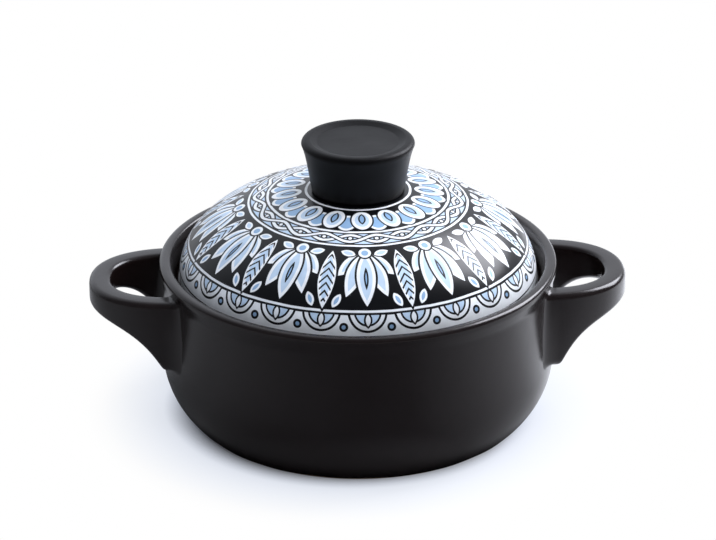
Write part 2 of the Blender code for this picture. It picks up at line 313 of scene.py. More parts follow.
def outer_section():
    """Outer wall, its turn to the foot, the glaze's bead and the base."""
    line = []
    for step in range(1, WALL_STEPS + 1):
        height = NECK_END - (NECK_END - BELLY_HEIGHT) * step / WALL_STEPS
        line.append(Vector((wall_radius(height), height)))
    glaze_end = math.degrees(math.asin((BELLY_HEIGHT - GLAZE_END) / BELLY_TURN))
    for step in range(1, TURN_STEPS + 1):
        angle = math.radians(-glaze_end * step / TURN_STEPS)
        line.append(Vector((BELLY_RADIUS - BELLY_TURN + BELLY_TURN * math.cos(angle),
                            BELLY_HEIGHT + BELLY_TURN * math.sin(angle))))
    end = line[-1][0]
    line += [Vector((end + across, height)) for across, height in GLAZE_BEAD]
    return line + [Vector(place) for place in BASE]


pot = turned("pot_glazed_shell", inner_section() + outer_section())
for vertex in pot.data.vertices:
    # Only the bead at the glaze's edge moves
    place = vertex.co / MM
    if place.z < BEAD_TOP and place.to_2d().length > BEAD_RADIUS:
        angle = math.atan2(place.y, place.x)
        vertex.co.z += MM * sum(size * math.sin(count * angle + start)
                                for size, count, start in BEAD_WAVES)

# %% [markdown]
# ## The bare foot ring
#
# A glazed foot would melt onto the kiln shelf, so the ring that the pot stands on is
# wiped clean and fires as bare stoneware. It is a piece of its own here, because it is
# another material, and its upper side runs up inside the glazed shell.

# %% The foot ring
FOOT_INNER = 81.4
FOOT_OUTER = 90.9
FOOT_EDGE = 0.8
FOOT_STEP = 1.3  # height of the bare step below the glaze
FOOT_TUCK = 4.0  # top of the ring, hidden in the shell
foot = turned("pot_foot_ring", rounded([
    (FOOT_INNER, 0.0, FOOT_EDGE), (FOOT_OUTER, 0.0, FOOT_EDGE), (FOOT_OUTER, FOOT_STEP, 0.4),
    (92.6, 1.9, 0), (91.0, FOOT_TUCK, 0), (80.0, FOOT_TUCK, 0), (78.6, 2.9, 0)]), closed=True)

# %% [markdown]
# ## The ear handles
#
# Each ear is pressed in a two-part mould and stuck on with slip while the clay is soft.
# Seen from above it is a bracket that leans out 41 mm; seen from the side it is thin at
# its tip and deep where it meets the wall, like a shelf bracket. A loft suits that: one
# rounded upright section is carried along a curve, and grows taller on the way. The two
# ears are set on and finished by hand, so their undersides are not quite the same line.

# %% Sizes of the ear in plan
EAR_TOP = 83.3
EAR_REACH = 40.9
EAR_HALF_SPAN = 40.0
EAR_ARM = 12.2       # width of the band, seen from above
EAR_SINK = 8.0       # the ear is widest this far behind the wall's face
EAR_ROUNDNESS = 2.3  # 2 would be an ellipse
ear_wall = wall_radius(EAR_TOP)
ear_root = math.sqrt(ear_wall ** 2 - (EAR_HALF_SPAN - EAR_ARM / 2) ** 2)
print("the middle line of the ear meets the wall at", round(ear_root, 1), "mm")

# %% [markdown]
# ## The ear's curve
#
# In plan the ear is a superellipse, fuller than an ellipse and softer than a rectangle.
# Its underside is a Bezier line that levels out at the root. It is drawn as depths below
# the ear's top: five for the line's control points, and one for the level root.

# %% Lay out the ear's curve
EAR_RIGHT = ((12.5, 15.0, 22.0, 18.5, 67.0), 44.0)
EAR_LEFT = ((13.0, 13.5, 19.0, 22.5, 57.0), 41.5)
EAR_BLEND = 2.5  # how softly the line levels out


def ear_path(angle):
    """Point and outward normal of the ear's middle line in plan."""
    length = EAR_REACH + EAR_SINK - EAR_ARM / 2
    span = EAR_HALF_SPAN - EAR_ARM / 2
    along, across = abs(math.cos(angle)), abs(math.sin(angle))
    side = math.copysign(1.0, angle)
    power = 2.0 / EAR_ROUNDNESS
    point = Vector((ear_wall - EAR_SINK + length * along ** power, side * span * across ** power))
    normal = Vector((along ** (2 - power) / length, side * across ** (2 - power) / span))
    return point, normal.normalized()


def root_share(out):
    """0 at the ear's tip and 1 at its root, from a distance along X."""
    return min(max((ear_wall + EAR_REACH - out) / (ear_wall + EAR_REACH - ear_root), 0.0), 1.0)


def ear_underside(out, sweep):
    """Height of the ear's underside: a Bezier line that levels out before the wall."""
    depths, root_depth = sweep
    share = root_share(out)
    spare = root_depth
    for index, depth in enumerate(depths):
        spare -= depth * math.comb(4, index) * share ** index * (1 - share) ** (4 - index)
    return EAR_TOP - root_depth + 0.5 * (spare + math.hypot(spare, EAR_BLEND))


print("the right ear is", round(EAR_TOP - ear_underside(ear_wall + EAR_REACH, EAR_RIGHT), 1),
      "mm deep at its tip and", round(EAR_TOP - ear_underside(ear_root, EAR_RIGHT), 1),
      "mm at its root")

# %% [markdown]
# ## The hollow fillet
#
# Where the ear meets the wall, a finger drawn along the wet joint leaves a hollow fillet.
# A boolean and a bevel would leave a seam there, so each point is moved outwards by a
# rule instead: the nearer it is to the wall, the farther it is lifted, along a quarter of
# a circle. The fillet grows from the top of the ear downwards and is almost nothing on
# its underside.

# %% Lift a point near the wall
EAR_COVE = 8.0        # radius of the hollow fillet
EAR_TOP_COVE = 2.5    # the same at the ear's top
EAR_LOW_COVE = 1.5    # the same on its underside
EAR_COVE_RISE = 20.0  # height over which it grows
EAR_JOINT = 0.3
EAR_LIFTS = 160
EAR_LIFT_ERROR = 0.001


def lift(place, outward):
    """How far the hollow fillet along the wall lifts a point of the ear's surface."""
    sunk = min((EAR_TOP - place.z) / EAR_COVE_RISE, 1.0)
    size = EAR_TOP_COVE + (EAR_COVE - EAR_TOP_COVE) * max(sunk, 0.0)
    size += (EAR_LOW_COVE - size) * min(outward.z, 0.0) ** 2
    for step in range(EAR_LIFTS + 1):
        raised = size * step / EAR_LIFTS
        moved = place + outward * raised
        gap = moved.to_2d().length - wall_radius(moved.z) + EAR_JOINT
        left = size - min(max(gap, 0.0), size)
        wanted = size - math.sqrt(size ** 2 - left ** 2)
        if raised > wanted - EAR_LIFT_ERROR:
            break
    return min(raised, wanted + 0.5 * size / EAR_LIFTS)


beside_wall = Vector((wall_radius(70.0) + 1.0, 0.0, 70.0))
print("1 mm from the wall the fillet stands",
      round(lift(beside_wall, Vector((0.0, 1.0, 0.0))), 1), "mm proud")

# %% [markdown]
# ## The ear's section
#
# A hand takes hold of the ear from outside, so its outer edge on top is rounded more than
# the inner one. The ends of the loft run into the clay of the wall, as the real ear is
# one with the pot, and points that would come out inside the pot are drawn back.

# %% Section of the ear at one station
EAR_OUTER_EDGE = 3.6
EAR_INNER_EDGE = 2.8
EAR_LOW_EDGE = 3.0
EAR_ROOT_EDGE = 5.5
EAR_BITE = 3.0  # how far the ear's ends reach into the wall


def ear_section(point, normal, sweep):
    """Points of one section; those deep in the clay wall are drawn back to its middle."""
    low = ear_underside(point.x, sweep)
    low_edge = EAR_LOW_EDGE + (EAR_ROOT_EDGE - EAR_LOW_EDGE) * root_share(point.x) ** 2
    half = EAR_ARM / 2
    outline = []
    for turn, side, edge, height in (
            (-90, 1, low_edge, low + low_edge),
            (0, 1, EAR_OUTER_EDGE, EAR_TOP - EAR_OUTER_EDGE),
            (90, -1, EAR_INNER_EDGE, EAR_TOP - EAR_INNER_EDGE),
            (180, -1, low_edge, low + low_edge)):
        for step in range(FILLET_STEPS + 1):
            angle = math.radians(turn + 90 * step / FILLET_STEPS)
            outline.append((side * (half - edge) + edge * math.cos(angle),
                            height + edge * math.sin(angle), angle))
        if turn in (-90, 90):
            outline.append((side * half, 0.5 * (low + EAR_TOP), math.radians(turn + 90)))
    section = []
    for across, height, angle in outline:
        place = (point + normal * across).to_3d() + Vector((0, 0, height))
        outward = (normal * math.cos(angle)).to_3d() + Vector((0, 0, math.sin(angle)))
        place += outward * lift(place, outward)
        least = wall_radius(place.z) - EAR_BITE
        if place.to_2d().length < least:
            place.x = math.sqrt(least ** 2 - place.y ** 2)
        section.append(place * MM)
    return section


print("a section has", len(ear_section(*ear_path(0.0), EAR_RIGHT)), "points")

# %% [markdown]
# ## Lofting the ears
#
# The stations along the curve stand about half a millimetre apart near the wall, where
# the fillet begins, and a millimetre apart at the tip. Each pair of neighbouring sections
# is joined by a ring of faces, and a mirror sign makes the left ear, which a Mirror
# modifier could not do with its own underside.

# %% Loft the ear on both sides
EAR_STATIONS = 192
EAR_TAIL = 12  # further stations at each end, 1 mm apart, in the clay


def ear(name, side, sweep):
    """Loft the sections of one ear; side is 1 for +X and -1 for -X."""
    vertices, faces = [], []
    for station in range(-EAR_TAIL, EAR_STATIONS + EAR_TAIL + 1):
        share = 2 * min(max(station, 0), EAR_STATIONS) / EAR_STATIONS - 1
        point, normal = ear_path(math.pi / 4 * (share + math.sin(math.pi / 2 * share)))
        point.x -= max(-station, station - EAR_STATIONS, 0)
        section = ear_section(point, normal, sweep)
        vertices += [(side * x, side * y, z) for x, y, z in section]
    count = len(section)
    last = len(vertices) - count
    for start in range(0, last, count):
        for index in range(count):
            after = (index + 1) % count
            faces.append((start + index, start + after,
                          start + count + after, start + count + index))
    faces.append(tuple(range(count)))
    faces.append(tuple(range(last, last + count)))
    return smooth_object(name, vertices, faces)


ear_right = ear("ear_handle_right", 1, EAR_RIGHT)
ear_left = ear("ear_handle_left", -1, EAR_LEFT)

# %% [markdown]
# ## The lid
#
# The lid is pressed from a sheet of clay over a hump mould, so its wall has one thickness
# all over. The dome is a little fuller than an ellipse: its curve has the exponent 2.25.
# It drops into the gallery with a small play all round, and it rests there on a bare ring,
# because the pot and its lid are fired together and glaze would glue them.

# %% Section of the lid
LID_RADIUS = 98.9
LID_SPRING = 84.5     # height at which the dome begins
LID_RISE = 48.9
LID_ROUNDNESS = 2.25
LID_WALL = 5.5
LID_BORE = 9.0
LID_EDGE = 1.2
LID_GLAZE_END = 80.7  # lower edge of the glazed part
KNOB_FOOT = 25.6
DOME_STEPS = 44
lid_pad = LID_SPRING + LID_RISE * math.sqrt(1 - (KNOB_FOOT / LID_RADIUS) ** LID_ROUNDNESS)


def dome(edge, rise, start):
    """Points of a dome's section from a starting radius out to its edge."""
    first = math.asin((start / edge) ** (LID_ROUNDNESS / 2))
    angles = [first + (math.pi / 2 - first) * step / DOME_STEPS
              for step in range(DOME_STEPS + 1)]
    return [Vector((edge * math.sin(angle) ** (2 / LID_ROUNDNESS),
                    LID_SPRING + rise * math.cos(angle))) for angle in angles]


outside = [Vector((LID_BORE, lid_pad))] + dome(LID_RADIUS, LID_RISE, KNOB_FOOT)
lid_inner = LID_RADIUS - LID_WALL
lower_edge = rounded([(LID_RADIUS, LID_SPRING, 0), (LID_RADIUS, LID_GLAZE_END, LID_EDGE),
                      (lid_inner, LID_GLAZE_END, LID_EDGE), (lid_inner, LID_SPRING, 0)])[1:-1]
inside = dome(lid_inner, lid_pad - LID_WALL - LID_SPRING, LID_BORE)[::-1]
lid = turned("lid_glazed_dome", outside + lower_edge + inside, closed=True)
print("pad for the knob at", round(lid_pad, 1), "mm")

# %% [markdown]
# The bare ring comes out of the lid's lower edge by 0.4 mm and stands 0.3 mm above the
# ledge, since two faces at exactly the same height would flicker.

# %% The lid's bare seat
SEAT_INNER, SEAT_OUTER = 93.8, 98.5
SEAT_BOTTOM, SEAT_TOP = 80.3, 82.0
lid_seat = turned("lid_bare_seat_ring", rounded([
    (SEAT_INNER, SEAT_BOTTOM, 0.4), (SEAT_OUTER, SEAT_BOTTOM, 0.6),
    (SEAT_OUTER, SEAT_TOP, 0), (SEAT_INNER, SEAT_TOP, 0)]), closed=True)

# %% [markdown]
# ## The knob
#
# The knob is slip-cast and hollow, so it stays cool enough to touch. It flares upwards,
# most of all just under its rounded shoulder, which gives the fingers a hold. Its top is
# a shallow dish with a sloping rim.

# %% Section of the knob
KNOB_TOP = 162.1
KNOB_TOP_RADIUS = 31.1
KNOB_SHOULDER = 3.2
KNOB_SHOULDER_DROP = 2.6
KNOB_DISH = 1.4         # depth of the dish
KNOB_SLOPE = 4.0        # width of its sloping rim
KNOB_CREST_WIDTH = 1.4
KNOB_FLARE = 1.3        # extra radius that the side gains near its top
KNOB_FLARE_POWER = 5    # how late it gains that
KNOB_JOINT = 0.3
KNOB_FOOT_EDGE = 0.6
KNOB_HOLLOW_RADIUS = 19.1
KNOB_HOLLOW_TOP = 154.2
KNOB_ROUND_STEPS = 8
KNOB_SIDE_STEPS = 18
knob_base = lid_pad + KNOB_JOINT
knob_side_base = knob_base + KNOB_FOOT_EDGE
knob_crest_radius = KNOB_TOP_RADIUS - KNOB_SHOULDER
knob_shoulder_base = KNOB_TOP - KNOB_SHOULDER_DROP


def knob_section():
    """Dish, shoulder, flared side, foot and the hollow inside."""
    slope_end = knob_crest_radius - KNOB_CREST_WIDTH
    line = rounded([
        (0.0, KNOB_TOP - KNOB_DISH, 0), (slope_end - KNOB_SLOPE, KNOB_TOP - KNOB_DISH, 3.0),
        (slope_end, KNOB_TOP, 2.5), (knob_crest_radius, KNOB_TOP, 0)])
    for step in range(1, KNOB_ROUND_STEPS + 1):
        angle = math.radians(90 - 90 * step / KNOB_ROUND_STEPS)
        line.append(Vector((
            knob_crest_radius + KNOB_SHOULDER * math.cos(angle),
            knob_shoulder_base + KNOB_SHOULDER_DROP * math.sin(angle))))
    spread = KNOB_TOP_RADIUS - KNOB_FOOT - KNOB_FLARE
    for step in range(1, KNOB_SIDE_STEPS + 1):
        share = 1 - step / KNOB_SIDE_STEPS
        line.append(Vector((
            KNOB_FOOT + spread * share + KNOB_FLARE * share ** KNOB_FLARE_POWER,
            knob_side_base + (knob_shoulder_base - knob_side_base) * share)))
    line += rounded([(KNOB_FOOT, knob_side_base, 0), (KNOB_FOOT - 0.5, knob_base, 0),
                     (KNOB_HOLLOW_RADIUS, knob_base, 0.6),
                     (KNOB_HOLLOW_RADIUS, KNOB_HOLLOW_TOP, 6.0), (0.0, KNOB_HOLLOW_TOP, 0)])[1:]
    return line


knob = turned("lid_hollow_knob", knob_section())

# %% [markdown]
# ## Black satin glaze
#
# The pot and its ears wear an iron-black glaze, sprayed on stoneware and fired to a
# satin. A satin glaze is glossy glass full of microscopic crystals, so it gives a broad,
# soft highlight with the deep black of the glass next to it. Where it lies thinner it is
# a shade warmer and less glossy, in clouds some 22 mm wide, 45 to a metre. The spray
# leaves a faint orange-peel of a little over 2 mm. A picture could hold all that, but two
# noises do it at any size.

# %% Make the satin glaze
GLASS_IOR = 1.5
CLOUDS_PER_METRE = 45.0
PEEL_PER_METRE = 420.0
WAVE_HEIGHT = 0.6 * MM


def black_glaze(name, body, thin, gloss, dull, level, peel):
    """An iron-black glaze: two colours, roughness range, mirror level, orange-peel in mm."""
    material, tree, output = new_surface(name)
    place = add(tree, "TexCoord").outputs["Object"]
    cloud = add(tree, "TexNoise", {"Vector": place, "Scale": CLOUDS_PER_METRE, "Detail": 3.0})
    grain = add(tree, "TexNoise", {"Vector": place, "Scale": PEEL_PER_METRE, "Detail": 2.0})
    shade = add(tree, "Mix", [cloud, colour(body), colour(thin)], data_type="RGBA")
    rough = add(tree, "MapRange", [cloud, 0.3, 0.7, gloss, dull])
    waves = add(tree, "Bump", {"Height": cloud, "Strength": 0.25, "Distance": WAVE_HEIGHT})
    fine = add(tree, "Bump", {"Height": grain, "Strength": 0.5, "Distance": peel * MM,
                              "Normal": waves})
    shader = add(tree, "BsdfPrincipled", {
        "Base Color": shade, "Roughness": rough, "Normal": fine,
        "IOR": GLASS_IOR, "Specular IOR Level": level})
    tree.links.new(shader.outputs[0], output.inputs[0])
    print(name, "has", len(tree.nodes), "nodes")
    return material


satin = black_glaze("iron_black_satin_glaze", "130c0b", "181110", 0.20, 0.25, 0.5, 0.03)

# %% [markdown]
# ## Matt black glaze
#
# The knob has a drier glaze of the same iron black, with more crystals in it. The same
# function makes it, rougher and with a weaker mirror, so the sides stay deep black while
# the dished top looks softly grey in the light that comes over it from behind.

# %% Make the matt glaze
matt = black_glaze("iron_black_matt_glaze", "060506", "080708", 0.40, 0.48, 0.18, 0.06)

# %% [markdown]
# ## White glaze
#
# The lid is dipped in a clear soft-gloss glaze over a white slip. The glass lays a pale,
# wide glare on the dome, and the colour stays bright under it. One function puts that
# glass over any colour, so the print can use it too. Inside the lid the white is plain;
# there it shows only a little unevenness of thickness.

# %% Make the plain white glaze
WHITE = colour("eff2f5")


def glossy_glaze(tree, output, shade, place):
    """Clear soft gloss over a colour, with the slightest waviness."""
    waves = add(tree, "TexNoise", {"Vector": place, "Scale": 30.0, "Detail": 1.0})
    bump = add(tree, "Bump", {"Height": waves, "Strength": 0.15, "Distance": WAVE_HEIGHT})
    shader = add(tree, "BsdfPrincipled", {
        "Base Color": shade, "Roughness": 0.28, "Normal": bump,
        "IOR": GLASS_IOR, "Specular IOR Level": 0.36})
    tree.links.new(shader.outputs[0], output.inputs[0])


plain_white, tree, output = new_surface("plain_white_gloss_glaze")
place = add(tree, "TexCoord").outputs["Object"]
thickness = add(tree, "TexNoise", {"Vector": place, "Scale": 25.0})
shade = add(tree, "Mix", [thickness, WHITE, colour("e4e6e6")], data_type="RGBA")
glossy_glaze(tree, output, shade, place)
print("the plain white has", len(tree.nodes), "nodes")

# %% [markdown]
# ## The printed rosette: its coordinates
#
# The lid carries an underglaze print, a rosette of rings round the knob. A flat picture
# would stretch over a dome. Instead the pattern is drawn in the dome's own measures: how
# far a point is from the middle along the curve, and how far round the axis, both in
# millimetres. The first comes from the angle at which the point stands on the dome, by a
# polynomial that is fitted to the real curve. Folding the turn about the axis makes each
# ring repeat. A little noise moves both, since a hand-laid print is never quite true.

# %% Fit the length along the dome
angles = np.linspace(0, math.pi / 2, 2000)
dome_radii = LID_RADIUS * np.sin(angles) ** (2 / LID_ROUNDNESS)
dome_rises = LID_RISE * np.cos(angles)
steps = np.hypot(np.diff(dome_radii), np.diff(dome_rises))
lengths = np.concatenate([[0.0], np.cumsum(steps)])
bearings = np.arctan2(dome_radii / LID_RADIUS, dome_rises / LID_RISE)
along_fit = np.polyfit(bearings, lengths, 4)
fit_error = np.abs(np.polyval(along_fit, bearings) - lengths).max()
print("length of the dome", round(lengths[-1], 1), "mm, fitted to", round(fit_error, 2), "mm")

# %% [markdown]
# Now the material measures each point: its radius and its height give its bearing on the
# dome, the polynomial turns that into the length along the curve, and an arc tangent
# gives the turn. Noise with waves of about 14 mm, 70 to a metre, shifts both by some
# tenths of a millimetre.

# %% Measure every point of the lid in the material
DRIFT_ALONG = 0.7
DRIFT_TURN = 0.010
printed_white, tree, output = new_surface("underglaze_printed_white_glaze")
place = add(tree, "TexCoord").outputs["Object"]
drift = add(tree, "TexNoise", {"Vector": place, "Scale": 70.0, "Detail": 1.0})
drift_xyz = add(tree, "SeparateXYZ", [drift.outputs["Color"]])
across_plan = add(tree, "VectorMath", [place, (1 / MM, 1 / MM, 0.0)], operation="MULTIPLY")
radius = add(tree, "VectorMath", [across_plan], operation="LENGTH")
place_xyz = add(tree, "SeparateXYZ", [place])
rise = add(tree, "MapRange", [place_xyz.outputs["Z"], LID_SPRING * MM,
                              (LID_SPRING + LID_RISE) * MM, 0.0, 1.0], clamp=False)
share = add(tree, "Math", [radius, LID_RADIUS], operation="DIVIDE")
bearing = add(tree, "Math", [share, rise], operation="ARCTAN2")
along = add(tree, "Math", [bearing, float(along_fit[0]), float(along_fit[1])],
            operation="MULTIPLY_ADD")
for factor in along_fit[2:]:
    along = add(tree, "Math", [along, bearing, float(factor)], operation="MULTIPLY_ADD")
along = add(tree, "Math", [drift_xyz.outputs["X"], DRIFT_ALONG, along], operation="MULTIPLY_ADD")
turn = add(tree, "Math", [place_xyz.outputs["Y"], place_xyz.outputs["X"]], operation="ARCTAN2")
turn = add(tree, "Math", [drift_xyz.outputs["Y"], DRIFT_TURN, turn],
           operation="MULTIPLY_ADD")
print("measuring a point takes", len(tree.nodes), "nodes")

# %% [markdown]
# ## Motifs from distances
#
# A motif could be cut as a mesh or painted as a picture. Here each one is a distance: how
# far a point is from the motif's edge, in millimetres, and less than nothing inside it.
# A pointed leaf is where two circles overlap, and a petal is a stretched circle. One
# colour ramp over that distance then gives the outline, the white edge and the fill.

# %% Helpers that draw motifs
def fold(sectors, shift=0.0):
    """Point in millimetres: round from a motif's middle, and along the dome."""
    half = math.pi / sectors
    moved = add(tree, "Math", [turn, shift * half], operation="ADD")
    folded = add(tree, "Math", [moved, half], operation="PINGPONG")
    around = add(tree, "Math", [folded, radius], operation="MULTIPLY")
    return add(tree, "CombineXYZ", [around, along, 0.0])


def leaf(spot, x, y, half_length, half_width, lean=0.0):
    """Distance from the edge of a pointed leaf, negative inside; equal halves make a disc."""
    curve = (half_length ** 2 + half_width ** 2) / (2 * half_width)
    own = add(tree, "Mapping", [spot, (x, y, 0.0), (0.0, 0.0, -math.radians(lean))],
              vector_type="TEXTURE")
    corner = add(tree, "VectorMath", [own], operation="ABSOLUTE")
    pushed = add(tree, "VectorMath", [corner, (curve - half_width, 0.0, 0.0)],
                 operation="ADD")
    reach = add(tree, "VectorMath", [pushed], operation="LENGTH")
    return add(tree, "Math", [reach, curve], operation="SUBTRACT")


def petal(spot, y, half_length, half_width):
    """Distance, nearly, from the edge of a round-ended petal."""
    own = add(tree, "Mapping", [spot, (0.0, y, 0.0), (0.0, 0.0, 0.0),
                                (half_width, half_length, 1.0)], vector_type="TEXTURE")
    reach = add(tree, "VectorMath", [own], operation="LENGTH")
    return add(tree, "Math", [reach, half_width, -half_width], operation="MULTIPLY_ADD")


def paint(under, distance, bands):
    """Lay a motif over what is under it; each band starts at a distance, None is bare."""
    low, high = bands[0][0], bands[-1][0]
    share = add(tree, "MapRange", [distance, low, high, 0.0, 1.0])
    stops = [((start - low) / (high - low), shade or (0.0, 0.0, 0.0, 0.0))
             for start, shade in bands]
    ink = add(tree, "ValToRGB", [share], stops=stops, hard=True)
    return add(tree, "Mix", [ink.outputs["Alpha"], under, ink.outputs["Color"]],
               data_type="RGBA")


# %% [markdown]
# ## The printed rosette: its colours and rings
#
# The print has three inks over the white slip. Black outlines about 1 mm wide hold
# everything together, as in block printing, and most motifs keep a broad white edge round
# a fill of pale or middle blue. The rings are laid down first, each as bands of one
# distance along the dome, and the motifs go on top from the rim inwards.

# %% Inks and the plain rings
INK = colour("0a0b0e")
PALE = colour("bfd4e9")
MIDDLE = colour("8fb1d4")
FIELD_START, FIELD_END = 62.2, 102.2
HEM_LINE, HEM_START = 103.6, 104.8

print_shade = paint(None, along, [
    (0.0, INK), (28.0, WHITE), (29.6, INK), (49.5, WHITE), (50.8, INK), (51.8, PALE),
    (59.8, INK), (60.8, WHITE), (FIELD_START, INK), (FIELD_END, WHITE), (HEM_LINE, INK),
    (HEM_START, WHITE), (117.3, INK), (118.6, WHITE), (125.0, WHITE)])
print("the black ring is", FIELD_END - FIELD_START, "mm broad")

# %% [markdown]
# The hem is a row of scallops that hang towards the rim, each with a small leaf in it,
# and a dot stands between it and the next.

# %% Hem of scallops
SCALLOPS = 24
hem = fold(SCALLOPS)
print_shade = paint(print_shade, leaf(hem, 0.0, HEM_LINE, 10.6, 10.6), [
    (-4.6, PALE), (-4.4, INK), (-3.3, WHITE), (-1.3, INK), (0.0, None)])
print_shade = paint(print_shade, leaf(hem, 0.0, 107.6, 3.4, 1.5), [
    (-1.0, WHITE), (-0.2, INK), (0.8, None)])
print_shade = paint(print_shade, leaf(fold(SCALLOPS, 1), 0.0, 111.4, 2.4, 2.4), [
    (-1.6, MIDDLE), (-1.3, INK), (0.0, None)])
print("a scallop is", round(2 * math.pi * LID_RADIUS / SCALLOPS, 1), "mm wide at the rim")

# %% [markdown]
# The broad middle ring is black, with twelve palmettes and twelve slim leaves on it. A
# palmette is a fan of five leaves from one foot. The outer leaves are painted first and
# the middle one last, so that each overlaps the next with its own black outline.

# %% Ring of palmettes
PALMETTES = 12
FAN_FOOT = 66.0
FIELD_MIDDLE = 84.0
print_shade = paint(print_shade, along, [
    (FIELD_START - 0.1, None), (FIELD_START, INK), (FIELD_END, WHITE), (HEM_LINE, INK),
    (HEM_START, None)])
fan = fold(PALMETTES)
for tilt, half_length, half_width in ((42, 10.6, 3.6), (21, 15.0, 4.4), (0, 16.6, 5.0)):
    middle = half_length + 1.0
    one = leaf(fan, middle * math.sin(math.radians(tilt)),
               FAN_FOOT + middle * math.cos(math.radians(tilt)), half_length, half_width, tilt)
    print_shade = paint(print_shade, one, [
        (-half_width, PALE), (-1.7, WHITE), (0.0, INK), (1.1, None)])
print_shade = paint(print_shade, leaf(fan, 0.0, FIELD_MIDDLE, 7.0, 1.3), [
    (-1.3, MIDDLE), (-0.9, INK), (0.0, None)])
print_shade = paint(print_shade, leaf(fan, 0.0, FAN_FOOT + 1.0, 3.4, 3.4), [
    (-2.4, MIDDLE), (-1.5, WHITE), (0.0, INK), (1.0, None)])
print("up to the palmettes the print has", len(tree.nodes), "nodes")

# %% [markdown]
# The slim leaves stand between the palmettes, with slanting veins across a pale fill. A
# ping-pong of a slanted distance repeats the vein, and the greater of two distances
# keeps it inside the leaf. Four small buds fill the black ground round each leaf.

# %% Slim leaves between the palmettes
VEIN_SLANT = -1.3
VEIN_HALF_STEP = 2.3
between = fold(PALMETTES, 1)
slim = leaf(between, 0.0, FIELD_MIDDLE, 18.0, 4.6)
print_shade = paint(print_shade, slim, [
    (-3.0, PALE), (-1.6, WHITE), (0.0, INK), (1.0, None)])
between_xyz = add(tree, "SeparateXYZ", [between])
slant = add(tree, "Math", [between_xyz.outputs["X"], VEIN_SLANT, between_xyz.outputs["Y"]],
            operation="MULTIPLY_ADD")
vein = add(tree, "Math", [slant, VEIN_HALF_STEP], operation="PINGPONG")
inner = add(tree, "Math", [slim, 1.4], operation="ADD")
vein = add(tree, "Math", [vein, inner], operation="MAXIMUM")
print_shade = paint(print_shade, vein, [(0.0, INK), (0.75, None)])
print_shade = paint(print_shade, leaf(between, 7.2, 97.2, 4.2, 2.2, -24.0), [
    (-1.4, MIDDLE), (-1.2, WHITE), (0.0, INK), (0.8, None)])
print_shade = paint(print_shade, leaf(between, 8.4, 67.2, 4.2, 2.1, 72.0), [
    (-1.2, PALE), (-1.0, WHITE), (0.0, INK), (0.8, None)])
print("the veins stand", 2 * VEIN_HALF_STEP, "mm apart")

# %% [markdown]
# Inside it runs a plait of two wavy ribbons that cross, with a pearl in each eye. Each
# ribbon is the distance from a sine line.

# %% Plait with pearls
PLAIT_MIDDLE = 55.8
PLAIT_SWING = 2.6
PLAIT_WAVES = 12
for side in (1.0, -1.0):
    wave = add(tree, "Math", [turn, float(PLAIT_WAVES)], operation="MULTIPLY")
    wave = add(tree, "Math", [wave], operation="SINE")
    wave = add(tree, "Math", [wave, side * PLAIT_SWING, PLAIT_MIDDLE],
               operation="MULTIPLY_ADD")
    wave = add(tree, "Math", [along, wave], operation="SUBTRACT")
    wave = add(tree, "Math", [wave], operation="ABSOLUTE")
    print_shade = paint(print_shade, wave, [(0.0, WHITE), (0.9, INK), (1.9, None)])
pearl = leaf(fold(2 * PLAIT_WAVES, 1), 0.0, PLAIT_MIDDLE, 1.9, 1.9)
print_shade = paint(print_shade, pearl, [(-1.2, WHITE), (-0.9, INK), (0.0, None)])
print("the plait has", 2 * PLAIT_WAVES, "pearls")

# %% [markdown]
# Two rows of round-ended petals lie next to the knob. The back row is painted first and
# peeps out between the petals of the front row. One plain white ring closes the print
# at the knob.

# %% Petals
PETALS = 16
print_shade = paint(print_shade, petal(fold(PETALS, 1), 42.2, 7.0, 5.6), [
    (-2.0, MIDDLE), (-1.4, WHITE), (0.0, INK), (0.8, None)])
front = fold(PETALS)
print_shade = paint(print_shade, petal(front, 39.8, 8.4, 5.6), [
    (-3.6, PALE), (-1.7, WHITE), (0.0, INK), (0.9, None)])
print_shade = paint(print_shade, leaf(front, 0.0, 38.4, 5.2, 2.1), [
    (-1.2, MIDDLE), (-0.9, INK), (0.0, None)])
print("each row has", PETALS, "petals")

# %% [markdown]
# Underglaze ink never lies quite evenly. A fine noise darkens the print by up to a tenth
# in patches of a few millimetres, and the clear glaze goes over everything.

# %% Let the inks pool a little, and glaze over them
pool = add(tree, "TexNoise", {"Vector": place, "Scale": 160.0, "Detail": 2.0})
pool = add(tree, "MapRange", [pool, 0.35, 0.65, 0.90, 1.0])
print_shade = add(tree, "Mix", [1.0, print_shade, pool], data_type="RGBA",
                  blend_type="MULTIPLY")
glossy_glaze(tree, output, print_shade, place)
print("the print has", len(tree.nodes), "nodes")

# %% [markdown]
# ## Bare stoneware
#
# The foot ring and the lid's seat are fired clay with no glaze: matt, slightly sandy,
# with dark iron specks. Real specks are 0.2 to 0.5 mm; they are drawn about that size.

# %% Make the bare clay
bare, tree, output = new_surface("bare_buff_stoneware")
place = add(tree, "TexCoord").outputs["Object"]
sand = add(tree, "TexNoise", {"Vector": place, "Scale": 900.0, "Detail": 3.0})
tone = add(tree, "TexNoise", {"Vector": place, "Scale": 60.0})
clay_shade = add(tree, "Mix", [tone, colour("b39c84"), colour("9a8470")], data_type="RGBA")
speck = add(tree, "TexVoronoi", {"Vector": place, "Scale": 700.0})
speck_mask = add(tree, "MapRange", [speck, 0.10, 0.16, 0.8, 0.0])
clay_shade = add(tree, "Mix", [speck_mask, clay_shade, colour("4a3a2e")], data_type="RGBA")
grit = add(tree, "Bump", {"Height": sand, "Strength": 0.6, "Distance": 0.0001})
shader = add(tree, "BsdfPrincipled", {"Base Color": clay_shade, "Roughness": 0.88,
                                      "IOR": GLASS_IOR, "Normal": grit})
tree.links.new(shader.outputs[0], output.inputs[0])
print("the bare clay has", len(tree.nodes), "nodes")
